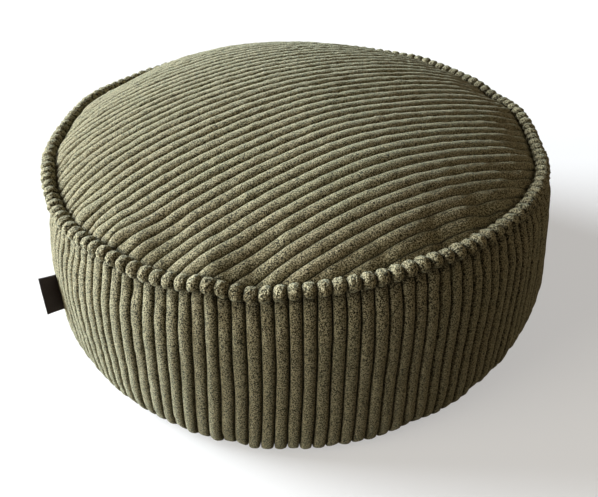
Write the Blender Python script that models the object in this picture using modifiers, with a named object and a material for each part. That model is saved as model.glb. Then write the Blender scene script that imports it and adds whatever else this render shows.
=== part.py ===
"""Round corduroy footstool: domed top panel, piping, side band, base panel and a side label.

Metres, +Z up. The origin is on the stool's axis, on the surface it rests on.
Bearings run counter-clockwise from +X, seen from above.
"""
import math
from collections import namedtuple

import bpy

OBJECT_NAME = "corduroy_footstool"

# Driving sizes
SEAM_RADIUS = 0.280       # axis to the middle of the piping
SEAM_HEIGHT = 0.203       # surface to the middle of the piping
DOME_RISE = 0.062         # middle of the dome above the middle of the piping
PIPING_RADIUS = 0.0073
BASE_RADIUS = 0.262
BASE_THICKNESS = 0.003
TOP_EDGE_DEPTH = 0.004    # how far the top panel's edge reaches below the middle of the piping
GAP = 0.0003              # between pieces that touch
SEGMENTS = 96             # sides of every round piece
PIPING_SIDES = 12

# The dome from the axis to its edge: share of the seam radius, share of the rise.
DOME_PROFILE = (
    (0.00, 1.00),
    (0.10, 0.99),
    (0.20, 0.96),
    (0.30, 0.915),
    (0.40, 0.855),
    (0.50, 0.78),
    (0.60, 0.685),
    (0.70, 0.56),
    (0.78, 0.44),
    (0.85, 0.305),
    (0.90, 0.185),
    (0.94, 0.075),
)

# The wall from under the piping to the foot: share of the seam height, share of the seam radius.
WALL_PROFILE = (
    (0.92, 1.017),
    (0.86, 1.031),
    (0.80, 1.044),
    (0.70, 1.055),
    (0.60, 1.061),
    (0.40, 1.066),
    (0.20, 1.071),
    (0.08, 1.062),
)
FOOT_ROUNDING = 0.012     # radius of the foot's lower edge

# The stool isn't a true round. Each wave has so many lobes round the stool, each so high,
# and one of its crests is at the bearing.
Wave = namedtuple("Wave", "lobes height bearing")
SEAM_OUT = (Wave(2, 0.0043, 129), Wave(3, 0.0023, 0), Wave(4, 0.0012, 44), Wave(5, 0.0008, 61))
SEAM_UP = (Wave(2, 0.0014, 143), Wave(3, 0.0035, 61), Wave(4, 0.0009, 22), Wave(5, 0.0005, 21))
BELLY_OUT = (Wave(1, 0.0024, 353), Wave(2, 0.0034, 71), Wave(3, 0.0060, 99))
FOOT_OUT = (Wave(1, 0.0016, 302), Wave(2, 0.0038, 164), Wave(3, 0.0016, 44), Wave(4, 0.0040, 82))
DOME_UP = (Wave(1, 0.0034, 165), Wave(2, 0.0032, 115), Wave(3, 0.0010, 55), Wave(4, 0.0013, 31))
DOME_WAVE_GAIN = 2.6      # makes the highest share of a one-lobed wave 1
SETTLED_SHARE = 0.9       # past this share out and up, the seam's pieces move as one

# The label: a folded tab that stands out from the wall
LABEL_BEARING = 208.0
LABEL_TOP = 0.119
LABEL_LENGTH = 0.049      # down the wall
LABEL_WIDTH = 0.019       # out from the wall
LABEL_THICKNESS = 0.0016
LABEL_TURN = 4.0          # degrees that it leans round toward the front
LABEL_LIFT = 6.0          # degrees that it points up
LABEL_BOW = 0.0015        # how far its middle bows sideways
LABEL_CELLS = 6

# Colours: red, green, blue (linear), roughness
Finish = namedtuple("Finish", "red green blue roughness")
OLIVE_CORD = Finish(0.135, 0.130, 0.080, 0.95)
BLACK_TAPE = Finish(0.012, 0.012, 0.013, 0.85)


def clear_scene():
    for item in list(bpy.data.objects):
        bpy.data.objects.remove(item)


def make_collection(name):
    collection = bpy.data.collections.new(name)
    bpy.context.scene.collection.children.link(collection)
    return collection


def make_material(name, finish):
    material = bpy.data.materials.new(name)
    material.use_nodes = True
    shader = material.node_tree.nodes["Principled BSDF"]
    shader.inputs["Base Color"].default_value = (finish.red, finish.green, finish.blue, 1.0)
    shader.inputs["Roughness"].default_value = finish.roughness
    shader.inputs["Metallic"].default_value = 0.0
    return material


def wave_sum(waves, bearing):
    """Height of a set of waves at a bearing in radians."""
    return sum(
        wave.height * math.cos(wave.lobes * (bearing - math.radians(wave.bearing)))
        for wave in waves
    )


def dome_swell(share_out, bearing):
    """How far the dome's waves lift a place. They fade to nothing at its middle and its seam."""
    return sum(
        DOME_WAVE_GAIN * share_out ** min(wave.lobes, 2) * (1.0 - share_out ** 2)
        * wave_sum((wave,), bearing)
        for wave in DOME_UP
    )


def settle(x, y, z):
    """Move a point of the true round stool to where the filled cloth has settled."""
    radius = math.hypot(x, y)
    bearing = math.atan2(y, x)
    share_out = radius / SEAM_RADIUS
    outer = min(1.0, share_out / SETTLED_SHARE) ** 2
    share_up = min(1.0, z / (SETTLED_SHARE * SEAM_HEIGHT))

    out = wave_sum(SEAM_OUT, bearing) * share_up
    out += wave_sum(BELLY_OUT, bearing) * 4.0 * share_up * (1.0 - share_up)
    out += wave_sum(FOOT_OUT, bearing) * (1.0 - share_up)
    up = wave_sum(SEAM_UP, bearing) * share_up * outer
    if z > SEAM_HEIGHT and share_out < 1.0:
        fade = min(1.0, (z - SEAM_HEIGHT) / 0.01)
        up += dome_swell(share_out, bearing) * fade

    radius += out * outer
    return radius * math.cos(bearing), radius * math.sin(bearing), z + up


def settle_mesh(mesh):
    for vertex in mesh.vertices:
        vertex.co = settle(*vertex.co)


def finish_object(name, mesh, collection, material):
    """One settled, smooth-shaded object for one node."""
    mesh.name = name
    mesh.materials.clear()
    mesh.materials.append(material)
    mesh.shade_smooth()
    mesh.set_sharp_from_angle(angle=math.radians(40))
    item = bpy.data.objects.new(name, mesh)
    collection.objects.link(item)
    return item


def turned_mesh(name, profile):
    """Mesh of a profile of (radius, height) points, top to bottom, turned round the axis."""
    outline = bpy.data.meshes.new(name + "_profile")
    outline.from_pydata(
        [(radius, 0.0, height) for radius, height in profile],
        [(index, index + 1) for index in range(len(profile) - 1)],
        [],
    )
    item = bpy.data.objects.new(name + "_turned", outline)
    bpy.context.scene.collection.objects.link(item)
    screw = item.modifiers.new("turn", "SCREW")
    screw.steps = SEGMENTS
    screw.render_steps = SEGMENTS
    screw.use_merge_vertices = True
    screw.merge_threshold = 0.00005
    bpy.context.view_layer.update()
    mesh = bpy.data.meshes.new_from_object(item.evaluated_get(bpy.context.evaluated_depsgraph_get()))
    bpy.data.objects.remove(item)
    bpy.data.meshes.remove(outline)
    return mesh


def top_panel_profile():
    edge_radius = SEAM_RADIUS - PIPING_RADIUS - 1.6 * GAP
    points = [
        (share_out * SEAM_RADIUS, SEAM_HEIGHT + share_up * DOME_RISE)
        for share_out, share_up in DOME_PROFILE
    ]
    points.append((edge_radius, SEAM_HEIGHT + 0.001))
    points.append((edge_radius, SEAM_HEIGHT - TOP_EDGE_DEPTH))
    points.append((0.0, SEAM_HEIGHT - TOP_EDGE_DEPTH))
    return points


def side_band_profile():
    """Flat under the top panel, a saddle for the piping, the wall, the foot, the base's seat."""
    bed = SEAM_HEIGHT - TOP_EDGE_DEPTH - GAP
    saddle_radius = PIPING_RADIUS + 1.2 * GAP
    first = math.asin((TOP_EDGE_DEPTH + GAP) / saddle_radius)
    last = math.radians(112)
    points = [(0.0, bed)]
    for step in range(6):
        angle = first + (last - first) * step / 5.0
        points.append((
            SEAM_RADIUS - saddle_radius * math.cos(angle),
            SEAM_HEIGHT - saddle_radius * math.sin(angle),
        ))
    for share_up, share_out in WALL_PROFILE:
        points.append((share_out * SEAM_RADIUS, share_up * SEAM_HEIGHT))
    foot_radius = WALL_PROFILE[-1][1] * SEAM_RADIUS - FOOT_ROUNDING
    for degrees in (25, 50, 72, 90):
        angle = math.radians(degrees)
        points.append((
            foot_radius + FOOT_ROUNDING * math.cos(angle),
            FOOT_ROUNDING * (1.0 - math.sin(angle)),
        ))
    seat_radius = BASE_RADIUS + 1.6 * GAP
    points.append((seat_radius, 0.0))
    points.append((seat_radius, BASE_THICKNESS + GAP))
    points.append((0.0, BASE_THICKNESS + GAP))
    return points


def base_panel_profile():
    return [(0.0, BASE_THICKNESS), (BASE_RADIUS, BASE_THICKNESS), (BASE_RADIUS, 0.0), (0.0, 0.0)]


def make_turned(name, profile, collection, material):
    mesh = turned_mesh(name, profile)
    settle_mesh(mesh)
    return finish_object(name, mesh, collection, material)


def make_piping(collection, material):
    bpy.ops.mesh.primitive_torus_add(
        major_radius=SEAM_RADIUS,
        minor_radius=PIPING_RADIUS,
        major_segments=SEGMENTS,
        minor_segments=PIPING_SIDES,
        location=(0.0, 0.0, 0.0),
    )
    ring = bpy.context.object
    mesh = ring.data.copy()
    bpy.data.objects.remove(ring)
    for vertex in mesh.vertices:
        vertex.co = settle(vertex.co.x, vertex.co.y, vertex.co.z + SEAM_HEIGHT)
    return finish_object("piping", mesh, collection, material)


def wall_radius(height):
    """Radius of the true round wall at a height, between the rows of its table."""
    share_up = height / SEAM_HEIGHT
    for upper, lower in zip(WALL_PROFILE, WALL_PROFILE[1:]):
        if lower[0] <= share_up <= upper[0]:
            mix = (share_up - lower[0]) / (upper[0] - lower[0])
            return SEAM_RADIUS * (lower[1] + mix * (upper[1] - lower[1]))
    raise ValueError("height is outside the wall's table")


def make_label(collection, material):
    """A thin tab whose root follows the wall, bowed a little across its length."""
    bpy.ops.mesh.primitive_grid_add(
        x_subdivisions=LABEL_CELLS,
        y_subdivisions=LABEL_CELLS,
        size=1.0,
        location=(0.0, 0.0, 0.0),
    )
    tab = bpy.context.object
    bearing = math.radians(LABEL_BEARING)
    heading = math.radians(LABEL_BEARING + LABEL_TURN)
    lift = math.tan(math.radians(LABEL_LIFT))
    for vertex in tab.data.vertices:
        across = vertex.co.x + 0.5
        along = vertex.co.y + 0.5
        height = LABEL_TOP - LABEL_LENGTH * (1.0 - along)
        root = wall_radius(height) + 2.0 * GAP
        root_x, root_y, root_z = settle(root * math.cos(bearing), root * math.sin(bearing), height)
        reach = across * LABEL_WIDTH
        bow = LABEL_BOW * across * math.sin(math.pi * along)
        vertex.co.x = root_x + reach * math.cos(heading) - bow * math.sin(heading)
        vertex.co.y = root_y + reach * math.sin(heading) + bow * math.cos(heading)
        vertex.co.z = root_z + reach * lift
    cloth = tab.modifiers.new("cloth", "SOLIDIFY")
    cloth.thickness = LABEL_THICKNESS
    cloth.offset = 0.0
    bpy.context.view_layer.update()
    mesh = bpy.data.meshes.new_from_object(tab.evaluated_get(bpy.context.evaluated_depsgraph_get()))
    bpy.data.objects.remove(tab)
    return finish_object("label", mesh, collection, material)


def main():
    clear_scene()
    collection = make_collection(OBJECT_NAME)
    make_turned("top_panel", top_panel_profile(), collection, make_material("top_cord", OLIVE_CORD))
    make_turned("side_band", side_band_profile(), collection, make_material("band_cord", OLIVE_CORD))
    make_turned("base_panel", base_panel_profile(), collection, make_material("base_cord", OLIVE_CORD))
    make_piping(collection, make_material("piping_cord", OLIVE_CORD))
    make_label(collection, make_material("label_tape", BLACK_TAPE))


main()
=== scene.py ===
"""Looks of a round corduroy footstool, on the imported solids.

Metres, +Z up, the origin on the stool's axis on the floor. Bearings run counter-clockwise from
+X, seen from above. A "wale" is one ridge of the corduroy. Every cover is a smooth surface of
two parameters with the wales raised along its normals.
"""
import math
from collections import namedtuple

import bpy
import numpy as np
from mathutils import Matrix, Vector


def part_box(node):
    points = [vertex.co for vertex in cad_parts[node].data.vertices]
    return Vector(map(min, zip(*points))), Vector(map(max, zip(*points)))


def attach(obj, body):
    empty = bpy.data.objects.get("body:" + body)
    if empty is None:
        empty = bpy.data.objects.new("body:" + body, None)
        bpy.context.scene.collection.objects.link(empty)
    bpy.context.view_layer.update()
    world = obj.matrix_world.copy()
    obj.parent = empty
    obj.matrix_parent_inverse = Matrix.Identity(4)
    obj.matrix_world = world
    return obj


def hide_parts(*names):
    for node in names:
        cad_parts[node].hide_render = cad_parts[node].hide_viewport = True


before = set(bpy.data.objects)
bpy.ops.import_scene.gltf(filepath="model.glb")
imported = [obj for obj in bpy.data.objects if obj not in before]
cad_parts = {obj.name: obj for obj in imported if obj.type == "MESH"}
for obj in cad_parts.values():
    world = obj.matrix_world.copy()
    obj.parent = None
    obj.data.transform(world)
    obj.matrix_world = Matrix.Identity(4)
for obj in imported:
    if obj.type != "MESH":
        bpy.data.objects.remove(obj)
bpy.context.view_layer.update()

# ------------ sizes and tables

MM = 0.001
PIPING_RADIUS = 7.3 * MM  # of the cloth round the cord, for its cloth coordinates

# The dome from its middle to its seam: share of the seam radius, share of the rise.
DOME_RISE = 62 * MM
DOME_PROFILE = (
    (-0.10, 0.99),
    (0.00, 1.00),
    (0.10, 0.99),
    (0.20, 0.96),
    (0.30, 0.915),
    (0.40, 0.855),
    (0.50, 0.78),
    (0.60, 0.685),
    (0.70, 0.56),
    (0.78, 0.44),
    (0.85, 0.305),
    (0.90, 0.185),
    (0.94, 0.065),
    (0.977, -0.085),
)
TOP_SEAM_SHARE = 0.977    # where the dome's cloth ends, beside the piping
TOP_SEAM_MARGIN = 1.5 * MM  # a wale nearer the seam than this, at its middle, is left out
TOP_SEAM_PINCH = 0.35     # how much lower the top's wales are where they are sewn in
TOP_WALE_SINK = 0.25      # the share of a top wale's height that is below the smooth dome

# The side cover from its tuck under the piping to its tuck under the foot:
# share of the seam radius, share of the seam height, share of the full wale height.
SIDE_OUTLINE = (
    (0.972, 0.968, 0.30),
    (0.985, 0.957, 0.45),
    (0.999, 0.950, 0.80),
    (1.011, 0.935, 0.97),
    (1.020, 0.900, 1.00),
    (1.031, 0.855, 1.00),
    (1.044, 0.800, 1.00),
    (1.055, 0.700, 1.00),
    (1.061, 0.600, 1.00),
    (1.066, 0.400, 1.00),
    (1.071, 0.200, 1.00),
    (1.067, 0.110, 1.05),
    (1.055, 0.050, 1.00),
    (1.034, 0.016, 0.80),
    (1.006, 0.002, 0.50),
    (0.970, 0.000, 0.20),
    (0.940, 0.001, 0.15),
)

# The stool isn't a true round. Each wave has so many lobes round the stool, each so high,
# and one of its crests is at the bearing.
Wave = namedtuple("Wave", "lobes height bearing")
SEAM_OUT = (
    Wave(2, 4.3 * MM, 129), Wave(3, 2.3 * MM, 0), Wave(4, 1.2 * MM, 44), Wave(5, 0.8 * MM, 61),
)
SEAM_UP = (
    Wave(2, 1.4 * MM, 143), Wave(3, 3.5 * MM, 61), Wave(4, 0.9 * MM, 22), Wave(5, 0.5 * MM, 21),
)
BELLY_OUT = (Wave(1, 2.4 * MM, 353), Wave(2, 3.4 * MM, 71), Wave(3, 6.0 * MM, 99))
FOOT_OUT = (
    Wave(1, 1.6 * MM, 302), Wave(2, 3.8 * MM, 164), Wave(3, 1.6 * MM, 44), Wave(4, 4.0 * MM, 82),
)
DOME_UP = (
    Wave(1, 3.4 * MM, 165), Wave(2, 3.2 * MM, 115), Wave(3, 1.0 * MM, 55), Wave(4, 1.3 * MM, 31),
)
DOME_WAVE_GAIN = 2.6      # makes the highest share of a one-lobed wave 1

# Places where the seam has been pulled, each over so many degrees either way
Nudge = namedtuple("Nudge", "bearing spread out up")
SEAM_NUDGES = (
    Nudge(8, 8, 0.0, 2.2 * MM),
    Nudge(18, 5, 0.5 * MM, -3.4 * MM),
    Nudge(48, 7, 3.0 * MM, 0.8 * MM),
    Nudge(157, 9, -1.0 * MM, 4.2 * MM),
    Nudge(186, 6, 2.0 * MM, -0.6 * MM),
    Nudge(208, 10, 0.0, -3.2 * MM),
    Nudge(230, 7, 0.4 * MM, 4.0 * MM),
    Nudge(253, 5, 0.0, 3.8 * MM),
    Nudge(262, 5, 0.0, -3.4 * MM),
    Nudge(292, 5, 0.0, 1.6 * MM),
    Nudge(352, 9, -3.8 * MM, 0.0),
)

# Places near the seam where the dome's cloth is drawn down, or stands up where the depth is
# less than 0: each over so many degrees either way, from so far out. Gather is the share by
# which the cloth is drawn in toward the line, or spread from it where gather is less than 0.
Pucker = namedtuple("Pucker", "bearing spread inner_share depth gather")
PUCKERS = (
    Pucker(313, 2.4, 0.80, 3.6 * MM, 0.10),
    Pucker(299, 2.0, 0.84, 3.0 * MM, 0.15),
    Pucker(306, 2.6, 0.82, -1.5 * MM, 0.0),
    Pucker(286, 2.0, 0.88, 1.4 * MM, 0.15),
    Pucker(329, 2.6, 0.84, 2.2 * MM, 0.10),
    Pucker(345, 2.4, 0.86, 1.6 * MM, 0.10),
    Pucker(232, 20.0, 0.82, -4.5 * MM, 0.0),
    Pucker(222, 1.8, 0.84, 2.2 * MM, 0.35),
    Pucker(229, 1.8, 0.84, 1.6 * MM, 0.30),
    Pucker(214, 1.8, 0.86, 2.2 * MM, 0.35),
    Pucker(218, 2.2, 0.84, -1.8 * MM, -0.2),
    Pucker(196, 2.2, 0.86, 1.6 * MM, 0.2),
    Pucker(133, 26.0, 0.70, 6.6 * MM, 0.0),
    Pucker(166, 9.0, 0.84, -2.6 * MM, 0.0),
)

# Places where the wall has been drawn in, or pushed out where out is more than 0, over so many
# degrees either way, and over so much of its height up and down
Pull = namedtuple("Pull", "bearing spread share_up reach out")
WALL_PULLS = (
    Pull(190, 15, 0.80, 0.17, -6.0 * MM),
    Pull(340, 20, 0.88, 0.08, 5.0 * MM),
    Pull(345, 20, 0.56, 0.22, -3.2 * MM),
    Pull(324, 14, 0.10, 0.25, -2.5 * MM),
)
SETTLED_SHARE = 0.9       # past this share out and up, everything at the seam moves as one
FLOOR_CLEARANCE = 0.2 * MM
TOP_HUB_DROP = 4 * MM     # hidden middles of the covers' closed sides, below the seam
SIDE_HUB_DROP = 5 * MM
FOOT_HUB_RISE = 3.8 * MM  # and above the floor

# The corduroy
WALES_ROUND = 140         # wales, and piping knuckles, round the stool
FIRST_WALE_BEARING = 187.2
FOOT_TURN = -1.7          # degrees that the side's wales have turned at the foot
BELLY_TURN = 0.45         # and between the foot and the seam
LEFT_TURN = 1.1           # and between them on the label's side
RIGHT_TURN = -1.4         # and between them on the other side
TOP_WALE_PITCH = 12.25 * MM
TOP_GRAIN_BEARING = 28.1  # the way the top's wales run
TOP_GROOVE_SHIFT = -0.27  # of a wale, from the middle of the dome to a groove
PLACES_ACROSS_WALE = (0.0, 0.03, 0.06, 0.115, 0.24, 0.41, 0.59, 0.76, 0.885, 0.94, 0.97)
TUFT_HEIGHT = 0.16 * MM   # how far the tufts roughen a crest

# Its colours: painted shade for the groove floors and other hollows, the pile as it leans one way
# and the other, a painted highlight on the palest tufts, and the sheen of loose pile
PAINTED_SHADE_COLOUR = "#0f0b05"
PILE_SHADES = ("#6d644b", "#6a654b")
PAINTED_GLINT_COLOUR = "#8f8c7c"
SHEEN_SHADE = "#e0e9ce"

# Its speckle, partly the pile's own grain and partly painted light on the tufts' middles and
# painted shade in the gaps between them: how far apart the tufts are, how much paler a tuft's
# middle and how much darker the gap between tufts is than the pile, how much that varies from
# clump to clump, and how strongly the tufts stand up
Grain = namedtuple("Grain", "tuft_size tip_gain gap_gain clump_gain bumpiness")
TOP_GRAIN = Grain(1.15 * MM, 1.98, 0.2, 0.7, 0.7)
SIDE_GRAIN = Grain(1.0 * MM, 2.42, 0.0, 1.0, 0.9)
PIPING_GRAIN = Grain(1.5 * MM, 2.45, 0.1, 0.9, 0.9)
CLUMP_SIZE = 1.316 * MM   # how far apart the clumps are
GRAIN_POWER = 1.8         # makes dark and pale flecks as strong as each other to the eye
GRAIN_LIMIT = 4.0

# How a wale is shaped: its height, the share of the pitch that it fills, the rest being the
# groove's floor, the share of its height that is in its crown and not in its sides, how square
# its shoulders are, and how far toward its foot the pile stays clear of painted shade, both as
# powers.
WaleShape = namedtuple("WaleShape", "height width crown squareness tips")
TOP_WALE = WaleShape(4.4 * MM, 0.98, 0.33, 10, 30)
SIDE_WALE = WaleShape(6.6 * MM, 0.965, 0.20, 10, 16)
BASE_WALE = WaleShape(1.2 * MM, 0.90, 0.20, 8, 8)

# The piping's half width and half height at a wale's crest, and their share left in a groove
KNUCKLE_OUT = 8.3 * MM
KNUCKLE_UP = 7.0 * MM
KNUCKLE_NECK = 0.36
KNUCKLE_ROUND = 2.2       # the power that sets how quickly a knuckle swells from its necks
THINNEST_PIPING = 0.82    # its size at the back as a share of its size at the front

# The label: a folded tape that stands out from the wall
LABEL_BEARING = 208.0
LABEL_TOP = 0.119         # the height of its upper end
LABEL_LENGTH = 0.049      # down the wall
LABEL_WIDTH = 0.019       # out from the wall
LABEL_TAPE = 0.55 * MM    # how thick the tape is
LABEL_GAP = 0.4 * MM      # between its two layers
LABEL_TURN = 3.5          # degrees that it leans round toward the front
LABEL_LIFT = 6.0          # degrees that it points up
LABEL_BOW = 1.5 * MM      # sideways, half way down
LABEL_DROOP = 2.0 * MM    # how much longer than its root the folded end hangs
LABEL_ROOT_IN = 3.0 * MM  # how far it is sewn in between two wales
LABEL_LAYER_STEPS = 8     # points out along each of its two layers
LABEL_FOLD_STEPS = 14     # and round the fold
LABEL_CURL = 0.25 * MM    # of the folded end, in waves

# Its tape: nearly black, with paler ribs. Ribs and threads are coarser than real ones so that
# they show.
TAPE_SHADE = "#241d22"
RIB_SHADE = "#70626c"
RIB_SPACING = 0.9 * MM
THREAD_SIZE = 0.667 * MM

# The cloth solver: cloth that is filled, and held along its seams
CLOTH_COLUMNS = 168
CLOTH_ROWS_ON_DOME = 34
CLOTH_ROWS_ON_WALL = 30
CLOTH_SLACK = 0.012       # how much larger than its place the cloth is cut
CLOTH_STIFFNESS = 30.0
CLOTH_BENDING = 1.5
CLOTH_PRESSURE = 2.0
CLOTH_NAP = 0.4 * MM      # the unevenness that starts it buckling
CLOTH_FRAMES = 25
LONGEST_SWELL = 2 * MM    # the most that it may move the covers
LOBES_IN_SHAPE = 5        # unevenness with this many lobes or fewer is in the named shape

# The camera looks at the middle of the seam's ring, then turns, tips and rolls so many degrees.
CAMERA_DISTANCE = 0.8075
CAMERA_ELEVATION = 27.56
CAMERA_TIP = -9.56
CAMERA_TURN = -0.26
CAMERA_ROLL = -2.23
CAMERA_LENS = 40.75       # millimetres, on a sensor this wide
CAMERA_SENSOR = 36.0

# The light, low and soft: a window at the back left, a pale wall on the left that sends some of
# it back, and the warm far end of the room. Each is spread over so many degrees.
Light = namedtuple("Light", "name bearing elevation strength spread shade")
LIGHTS = (
    Light("window", 158.0, 14.0, 13.6, 34.0, "#f1f8ff"),
    Light("wall", 198.0, 9.0, 3.7, 40.0, "#fff9ec"),
    Light("far_room", 2.0, 16.0, 0.6, 50.0, "#ffe8c7"),
)

# The rest of the room, and the floor
ROOM_SHADE = "#ffe8c7"
ROOM_AS_SEEN = 0.85       # how bright the camera sees the room behind the stool
FILL_FROM_LEFT = 0.10
FILL_FROM_RIGHT = 0.12
FILL_FROM_BELOW = 0.5     # as a share of that from the side
FLOOR_HALF_SIZE = 8.0
FLOOR_SHADE = "#bcbcbc"
FLOOR_GLOW = 0.42         # keeps the floor pale where the stool shades it
WHITE = "#ffffff"


def seam_ring_size():
    """Mean radius and height of the solid piping, which are those of the top seam."""
    points = np.array([vertex.co for vertex in bpy.data.objects["piping"].data.vertices])
    return float(np.hypot(points[:, 0], points[:, 1]).mean()), float(points[:, 2].mean())


SEAM_RADIUS, SEAM_HEIGHT = seam_ring_size()


# ------------ curves and noise

def smooth_curve(rows, x, column=1):
    """Cubic Hermite curve through a table's rows, each row's slope the mean of its two chords."""
    table = np.array(rows, float)
    place, value = table[:, 0], table[:, column]
    chord = np.diff(value) / np.diff(place)
    slope = np.concatenate([chord[:1], 0.5 * (chord[:-1] + chord[1:]), chord[-1:]])
    x = np.clip(x, place[0], place[-1])
    cell = np.clip(np.searchsorted(place, x, side="right") - 1, 0, len(place) - 2)
    width = place[cell + 1] - place[cell]
    t = (x - place[cell]) / width
    return (
        value[cell] * (1 + 2 * t) * (1 - t) ** 2
        + value[cell + 1] * t * t * (3 - 2 * t)
        + width * t * (1 - t) * (slope[cell] * (1 - t) - slope[cell + 1] * t)
    )


def smooth_step(low, high, x):
    """0 below low, 1 above high, 3t^2 - 2t^3 between."""
    t = np.clip((x - low) / (high - low), 0.0, 1.0)
    return t * t * (3.0 - 2.0 * t)


def degrees_from(bearing, middle):
    """Degrees from a middle bearing, in degrees, to bearings in radians, -180 to 180."""
    return (np.degrees(bearing) - middle + 180.0) % 360.0 - 180.0


def wave_sum(waves, bearing):
    """Sum of height * cos(lobes * (bearing - crest bearing)) over a set of waves."""
    return sum(
        wave.height * np.cos(wave.lobes * (bearing - math.radians(wave.bearing)))
        for wave in waves
    )


def value_noise(x, y, seed, wrap=None):
    """Smooth noise in -1..1 with cells one unit wide: random corner values, eased between.

    With wrap, x repeats after that many cells.
    """
    corner_x, corner_y = np.floor(x), np.floor(y)
    ease_x = smooth_step(0.0, 1.0, x - corner_x)
    ease_y = smooth_step(0.0, 1.0, y - corner_y)

    def corner(i, j):
        i = i if wrap is None else i % wrap
        spin = np.sin(i * 127.1 + j * 311.7 + seed * 74.7) * 43758.5453
        return 2.0 * (spin - np.floor(spin)) - 1.0

    low = corner(corner_x, corner_y) * (1 - ease_x) + corner(corner_x + 1, corner_y) * ease_x
    high = corner(corner_x, corner_y + 1) * (1 - ease_x)
    high = high + corner(corner_x + 1, corner_y + 1) * ease_x
    return low * (1 - ease_y) + high * ease_y


def scatter(count, seed):
    """One random number in -1..1 for each of count wales."""
    return np.random.default_rng(seed).uniform(-1.0, 1.0, count)


# ------------ the smooth stool

def dome_swell(share_out, bearing):
    """How far the dome's waves lift a place: each by q^min(lobes, 2) * (1 - q^2), q out of 1."""
    return sum(
        DOME_WAVE_GAIN * share_out ** min(wave.lobes, 2) * (1.0 - share_out ** 2)
        * wave_sum((wave,), bearing)
        for wave in DOME_UP
    )


def seam_nudge(bearing):
    """Out and up moves of the seam: each nudge is a bell, exp(-(turn / spread)^2)."""
    out, up = np.zeros_like(bearing), np.zeros_like(bearing)
    for nudge in SEAM_NUDGES:
        turn = degrees_from(bearing, nudge.bearing)
        bell = np.exp(-(turn / nudge.spread) ** 2)
        out = out + nudge.out * bell
        up = up + nudge.up * bell
    return out, up


def settle(x, y, z):
    """Move points of the true round stool to where the filled cloth has settled.

    With s the share of the seam's height, the seam's waves move them by s, the belly's by
    4s(1 - s) and the foot's by 1 - s, all less toward the stool's axis. The nudges fade out
    away from the seam.
    """
    radius = np.hypot(x, y)
    bearing = np.arctan2(y, x)
    share_out = radius / SEAM_RADIUS
    outer = np.minimum(1.0, share_out / SETTLED_SHARE) ** 2
    share_up = np.clip(z / (SETTLED_SHARE * SEAM_HEIGHT), 0.0, 1.0)
    out = wave_sum(SEAM_OUT, bearing) * share_up
    out = out + wave_sum(BELLY_OUT, bearing) * 4.0 * share_up * (1.0 - share_up)
    out = out + wave_sum(FOOT_OUT, bearing) * (1.0 - share_up)
    up = wave_sum(SEAM_UP, bearing) * share_up * outer
    fade = np.clip((z - SEAM_HEIGHT) / 0.01, 0.0, 1.0)
    up = up + dome_swell(np.minimum(share_out, 1.0), bearing) * fade
    pulled_out, pulled_up = seam_nudge(bearing)
    near_seam = smooth_step(0.80, 0.98, share_out) * share_up ** 2
    out = out + pulled_out * near_seam
    up = up + pulled_up * near_seam
    radius = radius + out * outer
    return np.stack([radius * np.cos(bearing), radius * np.sin(bearing), z + up], axis=-1)


def dome_height(x, y):
    """Height of the true round dome over a plan point."""
    share_out = np.hypot(x, y) / SEAM_RADIUS
    return SEAM_HEIGHT + DOME_RISE * smooth_curve(DOME_PROFILE, share_out)


def pucker(x, y):
    """Plan points drawn in toward the puckers' lines, and how deep they lie in them.

    Across a line the depth falls off as exp(-(turn / spread)^2), and points turn toward it by
    gather * turn * exp(-(turn / 2 spread)^2). Both grow from inner_share out, and the depth is
    gone again at the seam.
    """
    share_out = np.hypot(x, y) / SEAM_RADIUS
    bearing = np.arctan2(y, x)
    depth, pull = np.zeros_like(share_out), np.zeros_like(share_out)
    for line in PUCKERS:
        turn = degrees_from(bearing, line.bearing)
        along = smooth_step(line.inner_share, 0.94, share_out)
        depth = depth + line.depth * along * np.exp(-(turn / line.spread) ** 2)
        pull = pull - line.gather * along * turn * np.exp(-(0.5 * turn / line.spread) ** 2)
    depth = depth * (1.0 - smooth_step(0.962, TOP_SEAM_SHARE, share_out))
    turned = bearing + np.radians(pull)
    radius = share_out * SEAM_RADIUS
    return radius * np.cos(turned), radius * np.sin(turned), depth


def dome_point(x, y):
    """A point of the top cover, by its place on the plan before the puckers gather it."""
    x, y, depth = pucker(x, y)
    point = settle(x, y, dome_height(x, y))
    point[..., 2] -= depth
    return point


PLAN_STEP = 0.8 * MM      # how far to either side a surface is measured for its normals
TURN_STEP = 0.002         # and how far round the stool, in radians


def unit(vectors):
    """Vectors made one long."""
    return vectors / np.maximum(np.linalg.norm(vectors, axis=-1, keepdims=True), 1e-12)


def normals_of(surface, u, v, step_u, step_v):
    """Unit normals of surface(u, v): the cross product of its two central differences."""
    along_u = surface(u + step_u, v) - surface(u - step_u, v)
    along_v = surface(u, v + step_v) - surface(u, v - step_v)
    return unit(np.cross(along_u, along_v))


def ridge(phase, shape):
    """Height share across one wale, phase 0 to 1 from groove to groove, and its paleness.

    The height is crown * (1 - u^2) + (1 - crown) * (1 - u^squareness)^0.5, with u the share of
    the way from the crest to the wale's foot, and 0 over the groove's floor. The paleness is
    1 - u^p, with p the shape's last power; below 1 it is painted shade, darkening the pile toward
    the groove.
    """
    u = np.minimum(1.0, np.abs(2.0 * phase - 1.0) / shape.width)
    sides = np.sqrt(1.0 - u ** shape.squareness)
    height = shape.crown * (1.0 - u ** 2) + (1.0 - shape.crown) * sides
    return height, 1.0 - u ** shape.tips


def wale_phases(count):
    """Places across so many wales, closest together where a wale rises from its groove."""
    return (np.arange(count)[:, None] + np.array(PLACES_ACROSS_WALE)[None, :]).ravel()


def side_by_length():
    """The side outline with each row's distance along it put in front."""
    table = np.array(SIDE_OUTLINE)
    steps = np.hypot(np.diff(table[:, 0]) * SEAM_RADIUS, np.diff(table[:, 1]) * SEAM_HEIGHT)
    return np.column_stack([np.concatenate([[0.0], np.cumsum(steps)]), table])


SIDE_BY_LENGTH = side_by_length()


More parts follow.
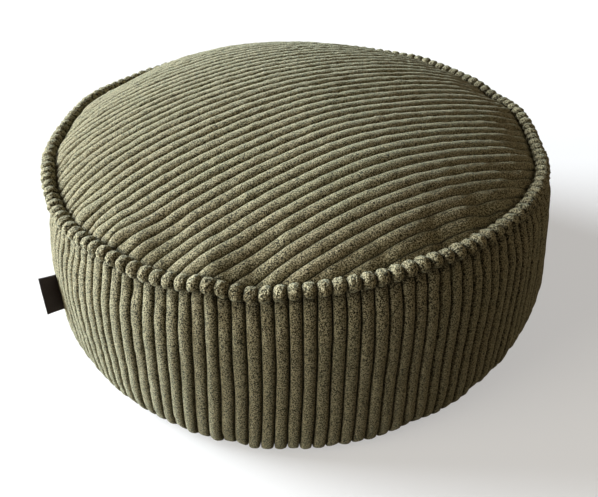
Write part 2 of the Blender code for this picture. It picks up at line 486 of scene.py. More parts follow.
def wall_pull(bearing, share_up):
    """How far out the wall is pulled: each pull is out * exp(-(turn/spread)^2 - (rise/reach)^2)."""
    out = np.zeros_like(bearing)
    for pull in WALL_PULLS:
        turn = degrees_from(bearing, pull.bearing)
        rise = (share_up - pull.share_up) / pull.reach
        out = out + pull.out * np.exp(-(turn / pull.spread) ** 2 - rise ** 2)
    return out * (1.0 - smooth_step(0.95, 1.0, share_up))


def side_point(bearing, length):
    """A point of the side cover, by its bearing and how far down the outline it is."""
    share_up = smooth_curve(SIDE_BY_LENGTH, length, 2)
    radius = SEAM_RADIUS * smooth_curve(SIDE_BY_LENGTH, length, 1) + wall_pull(bearing, share_up)
    height = SEAM_HEIGHT * share_up
    return settle(radius * np.cos(bearing), radius * np.sin(bearing), height)


# ------------ meshes

def add_object(name, data):
    """A new object in the scene."""
    item = bpy.data.objects.new(name, data)
    bpy.context.scene.collection.objects.link(item)
    return item


def grid_faces(number, wrap_rows=False, wrap_columns=False):
    """Quads of a grid of vertex numbers, turned so that row x column points out."""
    below, beside = np.roll(number, -1, axis=0), np.roll(number, -1, axis=1)
    quads = np.stack([number, below, np.roll(below, -1, axis=1), beside], axis=-1)
    if not wrap_rows:
        quads = quads[:-1]
    if not wrap_columns:
        quads = quads[:, :-1]
    return quads.reshape(-1, 4)


def build_piece(name, points, quads, triangles=(), uv=None, **attributes):
    """A smooth mesh object from arrays, with float attributes and an optional UV place a vertex."""
    mesh = bpy.data.meshes.new(name)
    faces = [tuple(face) for face in quads.tolist()] + [tuple(face) for face in triangles]
    mesh.from_pydata(points.reshape(-1, 3).tolist(), [], faces)
    mesh.validate()
    mesh.update()
    mesh.shade_smooth()
    for key, values in attributes.items():
        layer = mesh.attributes.new(key, "FLOAT", "POINT")
        layer.data.foreach_set("value", np.ascontiguousarray(values, dtype=np.float32).ravel())
    if uv is not None:
        layer = mesh.uv_layers.new(name="cloth")
        corner = np.empty(len(mesh.loops), dtype=np.int32)
        mesh.loops.foreach_get("vertex_index", corner)
        place = np.ascontiguousarray(uv.reshape(-1, 2)[corner], dtype=np.float32)
        layer.uv.foreach_set("vector", place.ravel())
    return add_object(name, mesh)


def border(number):
    """Vertex numbers once round the edge of a grid of them."""
    return np.concatenate([number[0, :], number[1:, -1], number[-1, -2::-1], number[-2:0:-1, 0]])


def fan(loop, hub):
    """Triangles from a closed loop of vertex numbers to a hub, keeping the loop's way round."""
    return [(int(a), int(b), hub) for a, b in zip(loop, np.roll(loop, -1))]


# ------------ the cloth settles

def sample(field, bearing, share):
    """Bilinear value of a field whose rows go from share 0 to 1 and columns once round."""
    rows, columns = field.shape
    row = np.clip(share, 0.0, 1.0) * (rows - 1)
    column = (bearing / (2 * math.pi)) % 1.0 * columns
    low = np.minimum(row.astype(int), rows - 2)
    left = column.astype(int) % columns
    right = (left + 1) % columns
    down, over = row - low, column - np.floor(column)
    near = field[low, left] * (1 - over) + field[low, right] * over
    far = field[low + 1, left] * (1 - over) + field[low + 1, right] * over
    return near * (1 - down) + far * down


def blow_up(name, points, held):
    """How far the filling pushes a smooth cover out along its normals, by the cloth solver.

    points is a grid, row by row, that closes on itself round the stool. The rows in held stay
    where they are sewn. The cloth is cut larger than its place, so it buckles between its
    seams. The mean of each row and its long lobes are taken away, because the smooth cover
    already has them, and what is left becomes longest * tanh(swell / longest).
    """
    shape = points.shape[:2]
    nap = CLOTH_NAP * np.random.default_rng(7).normal(size=shape)
    across, down = np.gradient(points, axis=(1, 0))
    normal = unit(np.cross(down, across))
    started = points + normal * nap[..., None]
    number = np.arange(nap.size).reshape(shape)
    piece = build_piece(name, started, grid_faces(number, wrap_columns=True))
    sewn = piece.vertex_groups.new(name="sewn")
    sewn.add(number[held].ravel().tolist(), 1.0, "REPLACE")
    settings = piece.modifiers.new("cloth", "CLOTH").settings
    settings.vertex_group_mass = "sewn"
    settings.use_pressure = True
    settings.uniform_pressure_force = CLOTH_PRESSURE
    settings.shrink_min = -CLOTH_SLACK
    settings.tension_stiffness = CLOTH_STIFFNESS
    settings.compression_stiffness = CLOTH_STIFFNESS
    settings.bending_stiffness = CLOTH_BENDING
    settings.effector_weights.gravity = 0.0
    scene = bpy.context.scene
    for frame_number in range(1, CLOTH_FRAMES + 1):
        scene.frame_set(frame_number)
    settled = piece.evaluated_get(bpy.context.evaluated_depsgraph_get()).to_mesh()
    after = np.empty(points.size, dtype=np.float32)
    settled.vertices.foreach_get("co", after)
    mesh = piece.data
    bpy.data.objects.remove(piece)
    bpy.data.meshes.remove(mesh)
    scene.frame_set(1)
    swell = ((after.reshape(points.shape) - points) * normal).sum(axis=-1)
    lobes = np.fft.rfft(swell, axis=1)
    lobes[:, :LOBES_IN_SHAPE + 1] = 0.0
    swell = np.fft.irfft(lobes, shape[1], axis=1)
    return LONGEST_SWELL * np.tanh(swell / LONGEST_SWELL)


def settle_covers():
    """Swell of the dome, by share out from its middle, and of the wall, by share down it."""
    around = 2 * math.pi * np.arange(CLOTH_COLUMNS) / CLOTH_COLUMNS
    out = np.linspace(0.0, 1.0, CLOTH_ROWS_ON_DOME)
    share, bearing = np.meshgrid(out, around, indexing="ij")
    radius = np.maximum(share, 0.02) * TOP_SEAM_SHARE * SEAM_RADIUS
    dome = dome_point(radius * np.cos(bearing), radius * np.sin(bearing))
    dome_swell_found = blow_up("dome_cloth", dome, [0, -1])
    down = np.linspace(0.0, 1.0, CLOTH_ROWS_ON_WALL)
    share, bearing = np.meshgrid(down, around, indexing="ij")
    wall = side_point(bearing, share * SIDE_BY_LENGTH[-1, 0])
    wall_swell_found = blow_up("wall_cloth", wall, [0, 1, -2, -1])
    return dome_swell_found, wall_swell_found


# ------------ top cover

def grain_axes():
    """Plan directions along the top's wales and across them."""
    angle = math.radians(TOP_GRAIN_BEARING)
    along = np.array([math.cos(angle), math.sin(angle)])
    across = np.array([-math.sin(angle), math.cos(angle)])
    return along, across


def plan_across(cloth_across, plan_along, rounds=4, steps=12):
    """Plan distance across the grain whose arc over the dome is the cloth's distance.

    The arc from the middle line is the integral of sqrt(1 + (dz/dc)^2) dc, by the midpoint
    rule; the plan distance is scaled by cloth distance / arc until they agree.
    """
    along, across = grain_axes()
    plan = cloth_across.copy()
    share = (np.arange(steps) + 0.5) / steps
    for _ in range(rounds):
        middle = plan[..., None] * share
        width = np.abs(plan[..., None]) / steps
        reach = plan_along[..., None]
        x = reach * along[0] + middle * across[0]
        y = reach * along[1] + middle * across[1]
        nudge = 0.5 * MM
        rise = dome_height(x + nudge * across[0], y + nudge * across[1]) - dome_height(x, y)
        arc = (width * np.sqrt(1.0 + (rise / nudge) ** 2)).sum(axis=-1)
        plan = plan * np.abs(cloth_across) / np.maximum(arc, 1e-9)
    return plan


def make_top_cover(swell, along_count=186):
    """The dome: rows follow the wales as chords of the seam's circle, columns run along them.

    A point lies on the dome at its cloth distance across the grain, moved along the normal by
    wale height * (ridge - sink), less at the seam.
    """
    edge = TOP_SEAM_SHARE * SEAM_RADIUS
    half_count = int(1.04 * edge / TOP_WALE_PITCH) + 2    # the cloth is longer than its plan
    phase = wale_phases(2 * half_count) - half_count
    cloth = (phase + TOP_GROOVE_SHIFT) * TOP_WALE_PITCH

    # How far a wale reaches depends on how far across it lies, and that on how far it reaches
    reach = np.zeros_like(cloth)
    for _ in range(12):
        plan = plan_across(cloth, reach)
        reach = 0.5 * reach + 0.5 * np.sqrt(np.maximum(edge ** 2 - plan ** 2, 0.0))
    kept = np.abs(plan_across(cloth, np.zeros_like(cloth))) < edge - TOP_SEAM_MARGIN
    phase, cloth, reach = phase[kept], cloth[kept], reach[kept]

    w = np.linspace(-1.0, 1.0, along_count)
    spread = 0.5 * w + 0.5 * np.sin(0.5 * math.pi * w)
    plan_along = reach[:, None] * spread[None, :]
    place, far = np.broadcast_arrays(phase[:, None], plan_along / MM)
    wander = 0.035 * value_noise(place / 2.6, far / 44.0, 11)
    wander = wander + 0.02 * value_noise(place / 1.3, far / 21.0, 12)
    across_cloth = cloth[:, None] + wander * TOP_WALE_PITCH
    plan = plan_across(across_cloth, plan_along, steps=10)
    along, across = grain_axes()
    x = plan_along * along[0] + plan * across[0]
    y = plan_along * along[1] + plan * across[1]
    too_far = np.maximum(1.0, np.hypot(x, y) / edge)
    x, y = x / too_far, y / too_far

    base = dome_point(x, y)
    normal = normals_of(dome_point, x, y, PLAN_STEP, PLAN_STEP)
    share_out = np.hypot(x, y) / SEAM_RADIUS
    base = base + normal * sample(swell, np.arctan2(y, x), share_out / TOP_SEAM_SHARE)[..., None]
    pinch = 1.0 - TOP_SEAM_PINCH * smooth_step(0.95, TOP_SEAM_SHARE, share_out)
    # Where pale falls below 1, toward each groove's floor, the pile is darkened as painted shade
    rise, pale = (part[:, None] + 0.0 * x for part in ridge(phase % 1.0, TOP_WALE))
    wale = np.floor(phase)[:, None]
    full = 1.0 + 0.06 * value_noise(wale * 0.77 + 0.5, far / 30.0, 13)
    tuft = TUFT_HEIGHT * value_noise(place * 4.0, far / 3.1, 14)
    lift = (rise * full - TOP_WALE_SINK) * TOP_WALE.height * pinch + tuft * rise
    points = base + normal * lift[..., None]

    number = np.arange(x.size).reshape(x.shape)
    hub = np.array([[0.0, 0.0, SEAM_HEIGHT - TOP_HUB_DROP]])
    count = len(phase) // len(PLACES_ACROSS_WALE) + 2
    tone = 0.3 * scatter(count, 15)[(wale - wale.min()).astype(int)]
    tone = tone + 0.8 * value_noise(place / 2.3, far / 30.0, 16)
    uv = np.stack([across_cloth, plan_along], axis=-1).reshape(-1, 2)
    return build_piece(
        "top_cover",
        np.concatenate([points.reshape(-1, 3), hub]),
        grid_faces(number)[:, ::-1],
        fan(border(number), x.size),
        uv=np.concatenate([uv, [[0.0, 0.0]]]),
        pale=np.append(pale.ravel(), 0.0),
        tone=np.append(tone.ravel(), 0.0),
    )


# ------------ side cover

def side_rows(count):
    """Places along the side outline, closer together at the tuck and at the foot."""
    w = np.linspace(0.0, 1.0, count)
    return w - 0.1 * np.sin(2 * math.pi * w)


def make_side_cover(swell, row_count=62):
    """The wall: rows go down the outline, columns go round it.

    A point lies on the wall, moved in along the normal by wale height * (1 - ridge).
    """
    phase = wale_phases(WALES_ROUND)
    length = SIDE_BY_LENGTH[-1, 0] * side_rows(row_count)
    place, down = np.meshgrid(phase, length)
    share_up = smooth_curve(SIDE_BY_LENGTH, down, 2)
    free = smooth_step(0.97, 0.80, share_up)
    wander = 0.08 * value_noise(place / 2.0, down / MM / 75.0, 21, wrap=WALES_ROUND / 2)
    wander = wander + 0.03 * value_noise(place, down / MM / 38.0, 22, wrap=WALES_ROUND)
    bearing = math.radians(FIRST_WALE_BEARING)
    bearing = bearing + 2 * math.pi * (place - 0.5 + wander * free) / WALES_ROUND
    turn = BELLY_TURN + LEFT_TURN * np.maximum(0.0, -np.cos(bearing - math.radians(25.0))) ** 3
    turn = turn + RIGHT_TURN * np.maximum(0.0, np.cos(bearing + math.radians(30.0))) ** 6
    lean = FOOT_TURN * (1.0 - share_up) + turn * 4.0 * share_up * (1.0 - share_up)
    bearing = bearing + np.radians(lean)
    base = side_point(bearing, down)
    normal = normals_of(side_point, bearing, down, TURN_STEP, PLAN_STEP)
    outward = np.sign((normal[..., 0] * np.cos(bearing) + normal[..., 1] * np.sin(bearing)).mean())
    normal = normal * outward
    base = base + normal * sample(swell, bearing, down / SIDE_BY_LENGTH[-1, 0])[..., None]
    # Where pale falls below 1, toward each groove's floor, the pile is darkened as painted shade
    rise, pale = (part[None, :] + 0.0 * place for part in ridge(phase % 1.0, SIDE_WALE))
    wale = np.floor(place)
    full = 1.0 + 0.07 * scatter(WALES_ROUND, 23)[wale.astype(int)]
    full = full + 0.06 * value_noise(wale * 0.77 + 0.5, down / MM / 40.0, 24)
    depth = SIDE_WALE.height * smooth_curve(SIDE_BY_LENGTH, down, 3)
    # Painted shade under the piping: the pile is darkened toward the tuck
    pale = pale * (0.55 + 0.45 * smooth_step(0.965, 0.90, share_up))
    tuft = TUFT_HEIGHT * value_noise(place * 4.0, down / MM / 3.1, 25)
    points = base + normal * ((rise * full - 1.0) * depth + tuft * rise)[..., None]
    points[..., 2] = np.maximum(points[..., 2], FLOOR_CLEARANCE)

    number = np.arange(place.size).reshape(place.shape)
    hubs = np.array([[0.0, 0.0, SEAM_HEIGHT - SIDE_HUB_DROP], [0.0, 0.0, FOOT_HUB_RISE]])
    triangles = fan(number[0], place.size) + fan(number[-1][::-1], place.size + 1)
    tone = 0.3 * scatter(WALES_ROUND, 26)[wale.astype(int)]
    tone = tone + 0.5 * value_noise(place / 4.0, down / MM / 60.0, 27, wrap=WALES_ROUND / 4)
    uv = np.stack([bearing * SEAM_RADIUS, down], axis=-1).reshape(-1, 2)
    return build_piece(
        "side_cover",
        np.concatenate([points.reshape(-1, 3), hubs]),
        grid_faces(number, wrap_columns=True),
        triangles,
        uv=np.concatenate([uv, np.zeros((2, 2))]),
        pale=np.concatenate([pale.ravel(), [0.0, 0.0]]),
        tone=np.concatenate([tone.ravel(), [0.0, 0.0]]),
    )


# ------------ piping

def seam_point(bearing):
    """Middle of the piping at a bearing."""
    return settle(
        SEAM_RADIUS * np.cos(bearing),
        SEAM_RADIUS * np.sin(bearing),
        np.full_like(bearing, SEAM_HEIGHT),
    )


def make_piping(sides=26, steps=16):
    """A cord round the seam, wider than it is high, that swells to a round knuckle at each wale.

    Its size is that of the knuckle times neck + (1 - neck) * (1 - |2p - 1|^round)^0.5, with p
    from groove to groove. Knuckles differ a little in size, are lumpy, and are smallest at the
    back.
    """
    step = 0.5 * (1.0 - np.cos(math.pi * np.arange(steps) / steps))
    phase = (np.arange(WALES_ROUND)[:, None] + step[None, :]).ravel()
    around = 2 * math.pi * np.arange(sides) / sides
    place, spin = np.meshgrid(phase, around, indexing="ij")
    knuckle = np.floor(place).astype(int)
    within = place - knuckle
    bump = (1.0 - np.abs(2.0 * within - 1.0) ** KNUCKLE_ROUND) ** 0.5
    size = 1.0 + 0.05 * scatter(WALES_ROUND, 31)[knuckle]
    lean = 0.05 * value_noise(place / 3.0, 0.0 * place, 32, wrap=WALES_ROUND / 3)
    bearing = math.radians(FIRST_WALE_BEARING)
    bearing = bearing + 2 * math.pi * (place - 0.5 + lean * np.sin(spin)) / WALES_ROUND
    middle = seam_point(bearing)
    radial = np.stack([np.cos(bearing), np.sin(bearing), np.zeros_like(bearing)], axis=-1)
    upward = np.array([0.0, 0.0, 1.0])
    share = KNUCKLE_NECK + (1.0 - KNUCKLE_NECK) * bump
    share = share * (1.0 - bump * (1.0 - size))
    share = share + 0.12 * bump * value_noise(place * 6.0, spin * 4.0, 33)
    share = share * (1.0 - (1.0 - THINNEST_PIPING) * 0.5 * (1.0 + np.sin(bearing)))
    points = middle + share[..., None] * (
        KNUCKLE_OUT * np.cos(spin)[..., None] * radial
        + KNUCKLE_UP * np.sin(spin)[..., None] * upward
    )
    number = np.arange(place.size).reshape(place.shape)
    quads = grid_faces(number, wrap_rows=True, wrap_columns=True)
    tone = 0.4 * scatter(WALES_ROUND, 34)[knuckle]
    uv = np.stack([bearing * SEAM_RADIUS, spin * PIPING_RADIUS], axis=-1)
    # pale is the bump: the necks between the knuckles are darkened as painted shade
    return build_piece("piping_cover", points, quads, uv=uv, pale=bump, tone=tone)


# ------------ base and label

def make_base_cover(along_count=60):
    """The round of cloth that the stool stands on, its wales pressed flat, as a closed sheet.

    Its lower side is raised by wale height * ridge, and its upper side is flat.
    """
    lowest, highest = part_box("base_panel")
    radius = 0.5 * (highest[0] - lowest[0])
    thickness = highest[2]
    half_count = int(radius / TOP_WALE_PITCH) + 1
    phase = wale_phases(2 * half_count) - half_count
    phase = phase[np.abs(phase * TOP_WALE_PITCH) < radius - 1.0 * MM]
    across = phase[:, None] * TOP_WALE_PITCH
    reach = np.sqrt(radius ** 2 - across ** 2)
    along = reach * np.sin(0.5 * math.pi * np.linspace(-1.0, 1.0, along_count))[None, :]
    # Where pale falls below 1, toward each groove's floor, the pile is darkened as painted shade
    rise, pale = (part[:, None] + 0.0 * along for part in ridge(phase % 1.0, BASE_WALE))
    across = np.broadcast_to(across, along.shape)
    lower = np.stack([along, across, (1.0 - rise) * BASE_WALE.height], axis=-1)
    upper = np.stack([along, across, np.full_like(along, thickness)], axis=-1)
    count = along.size
    number = np.arange(count).reshape(along.shape)
    quads = grid_faces(number)
    loop = border(number)
    after = np.roll(loop, -1)
    rim = np.stack([loop, loop + count, after + count, after], axis=-1)
    tone = value_noise(across / MM / 30.0, along / MM / 60.0, 41)
    return build_piece(
        "base_cover",
        np.concatenate([lower.reshape(-1, 3), upper.reshape(-1, 3)]),
        np.concatenate([quads, quads[:, ::-1] + count, rim]),
        uv=np.tile(np.stack([across, along], axis=-1).reshape(-1, 2), (2, 1)),
        pale=np.tile(pale.ravel(), 2),
        tone=np.tile(tone.ravel(), 2),
    )


def label_profile():
    """Outline of the folded tape across its fold, as (out, sideways) pairs in metres.

    Two layers lie LABEL_GAP apart and join in a half round. The outer skin goes out along one,
    round the fold and back along the other, and the inner skin follows it a tape's thickness in.
    """
    half = 0.5 * LABEL_GAP
    straight = np.linspace(0.0, 1.0, LABEL_LAYER_STEPS)
    turn = np.linspace(-0.5 * math.pi, 0.5 * math.pi, LABEL_FOLD_STEPS)[1:-1]

    def skin(radius):
        end = LABEL_WIDTH + LABEL_ROOT_IN - half - LABEL_TAPE
        out = np.concatenate([end * straight, end + radius * np.cos(turn), end * straight[::-1]])
        layer = np.full(LABEL_LAYER_STEPS, radius)
        side = np.concatenate([-layer, radius * np.sin(turn), layer])
        return np.stack([out, side], axis=-1)

    return skin(half + LABEL_TAPE), skin(half)


def make_label(rows=30):
    """The folded tape: its profile carried down the wall, bowed a little, its edges eased.

    The tape bows sideways by LABEL_BOW * out share * sin(pi * v), with v from 0 to 1 down it.
    """
    outer, inner = label_profile()
    v = np.linspace(0.0, 1.0, rows)
    height = LABEL_TOP - LABEL_LENGTH * v
    bearing = math.radians(LABEL_BEARING)
    heading = math.radians(LABEL_BEARING + LABEL_TURN)
    outward = np.array([math.cos(heading), math.sin(heading), math.tan(math.radians(LABEL_LIFT))])
    sideways = np.array([-math.sin(heading), math.cos(heading), 0.0])
    place = np.interp(height / SEAM_HEIGHT, SIDE_BY_LENGTH[::-1, 2], SIDE_BY_LENGTH[::-1, 0])
    root = side_point(np.full(rows, bearing), place)
    root = root - LABEL_ROOT_IN * outward

    def carry(profile):
        out = profile[None, :, 0]
        share = out / (LABEL_WIDTH + LABEL_ROOT_IN)
        ease = 1.0 - 0.02 * share * np.cos(math.pi * v)[:, None]
        bow = LABEL_BOW * share * np.sin(math.pi * v)[:, None]
        curl = LABEL_CURL * share * np.sin(5.0 * math.pi * v)[:, None]
        side = profile[None, :, 1] + bow + curl
        point = root[:, None, :] + (out * ease)[..., None] * outward + side[..., None] * sideways
        droop = LABEL_DROOP * share ** 2 * (v[:, None] - 0.4)
        point[..., 2] -= droop
        return point

    skins = [carry(outer), carry(inner)]
    count = rows * len(outer)
    number = np.arange(count).reshape(rows, -1)
    quads = grid_faces(number)
    strips = []
    edges = ((number[0], False), (number[-1], True), (number[:, 0], True), (number[:, -1], False))
    for edge, flip in edges:
        strip = np.stack([edge[:-1], edge[1:], edge[1:] + count, edge[:-1] + count], axis=-1)
        strips.append(strip[:, ::-1] if flip else strip)
    length_round = np.concatenate([[0.0], np.cumsum(np.hypot(*np.diff(outer, axis=0).T))])
    uv = np.stack(np.broadcast_arrays(length_round[None, :], -height[:, None]), axis=-1)
    return build_piece(
        "label_tape",
        np.concatenate([skin.reshape(-1, 3) for skin in skins]),
        np.concatenate([quads, quads[:, ::-1] + count, *strips]),
        uv=np.tile(uv.reshape(-1, 2), (2, 1)),
    )


# ------------ materials

def srgb(code):
    """Linear colour of an sRGB hex code."""
    channels = [int(code[i:i + 2], 16) / 255 for i in (1, 3, 5)]
    linear = [c / 12.92 if c <= 0.04045 else ((c + 0.055) / 1.055) ** 2.4 for c in channels]
    return (*linear, 1.0)


# A Mix node has sockets of several kinds under one name, so its colours go by number
FIRST, SECOND, BLEND = 6, 7, 2


def node(tree, kind, settings, links=None):
    """Add a node. settings name its properties and socket values, links the sockets it reads."""
    made = tree.nodes.new(kind)
    for key, value in settings.items():
        if isinstance(key, str) and hasattr(made, key):
            setattr(made, key, value)
        else:
            made.inputs[key].default_value = value
    for key, source in (links or {}).items():
        tree.links.new(source, made.inputs[key])
    return made


def new_material(name, settings):
    """A material with its tree and its shader, whose sockets are set by name."""
    material = bpy.data.materials.new(name)
    material.use_nodes = True
    shader = material.node_tree.nodes["Principled BSDF"]
    for key, value in settings.items():
        shader.inputs[key].default_value = value
    return material, material.node_tree, shader


def corduroy(name, grain):
    """Brushed cotton corduroy: olive cut pile, speckled by its tufts, darker down in the grooves.

    The tufts are drawn coarser than real ones, so that they show from a metre away. The pile's
    shade is multiplied by (speckle * mottle)^power: speckle runs from tip gain in a tuft's
    middle to gap gain between tufts, and mottle varies it by clump gain. The speckle is partly the
    pile's own grain and partly painted light on the tufts and painted shade between them, and the
    palest tufts are mixed toward a painted highlight. Where pale falls toward 0, in the grooves,
    under the piping and between its knuckles, the pile is darkened as painted shade. Loose,
    upright pile gives pale rims where it is seen along the surface, which is sheen here.
    """
    material, tree, shader = new_material(name, {
        "Roughness": 0.95,
        "Specular IOR Level": 0.1,
        "Sheen Weight": 0.4,
        "Sheen Roughness": 0.5,
        "Sheen Tint": srgb(SHEEN_SHADE),
    })
    place = node(tree, "ShaderNodeTexCoord", {}).outputs["Object"]
    pale = node(tree, "ShaderNodeAttribute", {"attribute_name": "pale"}).outputs["Fac"]
    tone = node(tree, "ShaderNodeAttribute", {"attribute_name": "tone"}).outputs["Fac"]
    tufts = node(
        tree, "ShaderNodeTexVoronoi", {"Scale": 1.0 / grain.tuft_size, "Randomness": 0.9},
        {"Vector": place},
    )
    clumps = node(
        tree, "ShaderNodeTexNoise", {"Scale": 1.0 / CLUMP_SIZE, "Detail": 1.0}, {"Vector": place},
    )
    # Speckle: partly the pile's own grain, partly painted light on the tufts' middles and painted
    # shade in the gaps between them
    speckle = node(
        tree, "ShaderNodeMapRange",
        {"From Min": 0.1, "From Max": 0.9, "To Min": grain.tip_gain, "To Max": grain.gap_gain},
        {"Value": tufts.outputs["Distance"]},
    )
    least, most = 1.0 - grain.clump_gain, 1.0 + grain.clump_gain
    mottle = node(
        tree, "ShaderNodeMapRange",
        {"From Min": 0.3, "From Max": 0.7, "To Min": least, "To Max": most},
        {"Value": clumps.outputs["Fac"]},
    )
    leaning = node(tree, "ShaderNodeMapRange", {"From Min": -1.0, "From Max": 1.0}, {"Value": tone})
    pile = node(
        tree, "ShaderNodeMix",
        {"data_type": "RGBA", FIRST: srgb(PILE_SHADES[0]), SECOND: srgb(PILE_SHADES[1])},
        {"Factor": leaning.outputs["Result"]},
    )
    # Painted shade: where pale falls toward 0 (in the grooves, under the piping and between its
    # knuckles) the pile goes to the dark shade colour
    colour = node(
        tree, "ShaderNodeMix", {"data_type": "RGBA", FIRST: srgb(PAINTED_SHADE_COLOUR)},
        {"Factor": pale, SECOND: pile.outputs[BLEND]},
    )
    mixed = node(
        tree, "ShaderNodeMath", {"operation": "MULTIPLY"},
        {0: speckle.outputs["Result"], 1: mottle.outputs["Result"]},
    )
    raised = node(
        tree, "ShaderNodeMath", {"operation": "POWER", 1: GRAIN_POWER},
        {0: mixed.outputs["Value"]},
    )
    strength = node(
        tree, "ShaderNodeMath", {"operation": "MINIMUM", 1: GRAIN_LIMIT},
        {0: raised.outputs["Value"]},
    )
    shaded = node(
        tree, "ShaderNodeVectorMath", {"operation": "SCALE"},
        {0: colour.outputs[BLEND], "Scale": strength.outputs["Value"]},
    )
    bump = node(
        tree, "ShaderNodeBump", {"Strength": grain.bumpiness, "Distance": 0.9 * MM, "invert": True},
        {"Height": tufts.outputs["Distance"]},
    )
    # Painted highlight: the palest tufts are mixed toward a pale grey glint
    painted_glint = node(
        tree, "ShaderNodeMapRange", {"From Min": 1.2, "From Max": 3.4, "To Max": 0.6},
        {"Value": strength.outputs["Value"]},
    )
    tipped = node(
        tree, "ShaderNodeMix", {"data_type": "RGBA", SECOND: srgb(PAINTED_GLINT_COLOUR)},
        {"Factor": painted_glint.outputs["Result"], FIRST: shaded.outputs["Vector"]},
    )
    tree.links.new(tipped.outputs[BLEND], shader.inputs["Base Color"])
    tree.links.new(bump.outputs["Normal"], shader.inputs["Normal"])
    return material


def woven_tape(name):
    """Black polyester tape, satin woven: nearly black, with fine ribs that catch a soft gleam.

    The bands of a wave node are 2 pi / (20 * scale) apart.
    """
    settings = {"Roughness": 0.6, "Specular IOR Level": 0.3, "Sheen Weight": 0.1}
    material, tree, shader = new_material(name, settings)
    place = node(tree, "ShaderNodeTexCoord", {}).outputs["UV"]
    ribs = node(
        tree, "ShaderNodeTexWave",
        {"bands_direction": "Y", "Scale": 2 * math.pi / (20 * RIB_SPACING), "Distortion": 0.6},
        {"Vector": place},
    )
    threads = node(
        tree, "ShaderNodeTexNoise", {"Scale": 1.0 / THREAD_SIZE, "Detail": 2.0}, {"Vector": place},
    )
    blend = node(
        tree, "ShaderNodeMath", {"operation": "MULTIPLY"},
        {0: ribs.outputs["Fac"], 1: threads.outputs["Fac"]},
    )
    colour = node(
        tree, "ShaderNodeMix",
        {"data_type": "RGBA", FIRST: srgb(TAPE_SHADE), SECOND: srgb(RIB_SHADE)},
        {"Factor": blend.outputs["Value"]},
    )
    bump = node(
        tree, "ShaderNodeBump", {"Strength": 0.5, "Distance": 0.2 * MM},
        {"Height": ribs.outputs["Fac"]},
    )
    tree.links.new(colour.outputs[BLEND], shader.inputs["Base Color"])
    tree.links.new(bump.outputs["Normal"], shader.inputs["Normal"])
    return material


# ------------ camera, light and floor

def make_camera():
    """The camera, aimed first at the middle of the seam's ring and then turned as named."""
    camera = add_object("camera", bpy.data.cameras.new("camera"))
    camera.data.sensor_width = CAMERA_SENSOR
    camera.data.lens = CAMERA_LENS
    camera.data.clip_start = 0.01
    elevation = math.radians(CAMERA_ELEVATION)
    place = Vector((0.0, -math.cos(elevation), math.sin(elevation))) * CAMERA_DISTANCE
    place.z += SEAM_HEIGHT
    level = Matrix.Rotation(math.radians(90 - CAMERA_ELEVATION), 4, "X")
    aim = (
        Matrix.Rotation(math.radians(CAMERA_TURN), 4, "Y")
        @ Matrix.Rotation(math.radians(CAMERA_TIP), 4, "X")
        @ Matrix.Rotation(math.radians(CAMERA_ROLL), 4, "Z")
    )
    camera.matrix_world = Matrix.Translation(place) @ level @ aim
    bpy.context.scene.camera = camera


def make_soft_light(light):
    """A distant light from one bearing and height, soft because it is spread so many degrees."""
    source = bpy.data.lights.new(light.name, "SUN")
    source.energy = light.strength
    source.angle = math.radians(light.spread)
    source.color = srgb(light.shade)[:3]
    item = add_object(light.name, source)
    bearing, elevation = math.radians(light.bearing), math.radians(light.elevation)
    toward = Vector((
        math.cos(elevation) * math.cos(bearing),
        math.cos(elevation) * math.sin(bearing),
        math.sin(elevation),
    ))
    item.rotation_euler = (-toward).to_track_quat("-Z", "Y").to_euler()


def make_floor():
    """Painted floor: pale and matt, with a glow that keeps its shadows light. It tints nothing."""
    half = FLOOR_HALF_SIZE
    corners = [(-half, -half, 0), (half, -half, 0), (half, half, 0), (-half, half, 0)]
    mesh = bpy.data.meshes.new("floor")
    mesh.from_pydata(corners, [], [(0, 1, 2, 3)])
    floor = add_object("floor", mesh)
    settings = {
        "Base Color": srgb(FLOOR_SHADE),
        "Roughness": 0.9,
        "Emission Color": srgb(WHITE),
        "Emission Strength": FLOOR_GLOW,
    }
    mesh.materials.append(new_material("pale_painted_floor", settings)[0])
    floor.visible_diffuse = False
    floor.visible_glossy = False


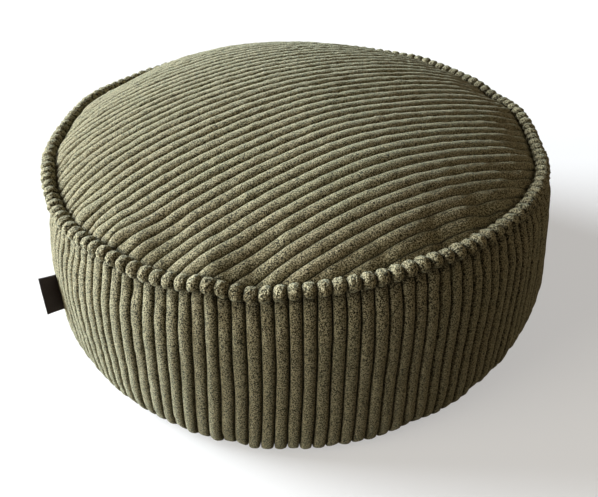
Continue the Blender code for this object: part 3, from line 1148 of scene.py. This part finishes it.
def make_fill_light():
    """A pale room, lighter on the right. It looks paler to the camera than it shines."""
    world = bpy.data.worlds.new("room")
    world.use_nodes = True
    tree = world.node_tree
    background = tree.nodes["Background"]
    seen = node(tree, "ShaderNodeLightPath", {}).outputs["Is Camera Ray"]
    colour = node(
        tree, "ShaderNodeMix",
        {"data_type": "RGBA", FIRST: srgb(ROOM_SHADE), SECOND: srgb(WHITE)},
        {"Factor": seen},
    )
    tree.links.new(colour.outputs[BLEND], background.inputs["Color"])
    toward = node(tree, "ShaderNodeTexCoord", {}).outputs["Generated"]
    axes = node(tree, "ShaderNodeSeparateXYZ", {}, {"Vector": toward})
    fill = node(
        tree, "ShaderNodeMapRange",
        {"From Min": -1.0, "To Min": FILL_FROM_LEFT, "To Max": FILL_FROM_RIGHT},
        {"Value": axes.outputs["X"]},
    )
    below = node(
        tree, "ShaderNodeMapRange",
        {"From Min": -0.3, "From Max": 0.1, "To Min": FILL_FROM_BELOW},
        {"Value": axes.outputs["Z"]},
    )
    shone = node(
        tree, "ShaderNodeMath", {"operation": "MULTIPLY"},
        {0: fill.outputs["Result"], 1: below.outputs["Result"]},
    )
    strength = node(
        tree, "ShaderNodeMix", {"B": ROOM_AS_SEEN}, {"Factor": seen, "A": shone.outputs["Value"]},
    )
    tree.links.new(strength.outputs["Result"], background.inputs["Strength"])
    bpy.context.scene.world = world


def main():
    """Build the five covers on their solids, then the camera, the light and the floor."""
    bpy.context.scene.view_settings.view_transform = "Standard"
    cord = corduroy("olive_corduroy", TOP_GRAIN)
    upright = corduroy("olive_corduroy_stood_on_end", SIDE_GRAIN)
    knuckled = corduroy("olive_corduroy_bent_over_cord", PIPING_GRAIN)
    tape = woven_tape("black_woven_tape")
    dome_swell_found, wall_swell_found = settle_covers()
    top = make_top_cover(dome_swell_found)
    side = make_side_cover(wall_swell_found)
    piping = make_piping()
    base = make_base_cover()
    label = make_label()
    dressed = (
        (top, "top_panel", cord, "cord"),
        (side, "side_band", upright, "cord"),
        (piping, "piping", knuckled, "cord"),
        (base, "base_panel", cord, "cord"),
        (label, "label", tape, "tape"),
    )
    for piece, cad_node, material, slot in dressed:
        piece.data.materials.append(material)
        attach(piece, "root")
        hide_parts(cad_node)
    make_camera()
    for light in LIGHTS:
        make_soft_light(light)
    make_fill_light()
    make_floor()


main()
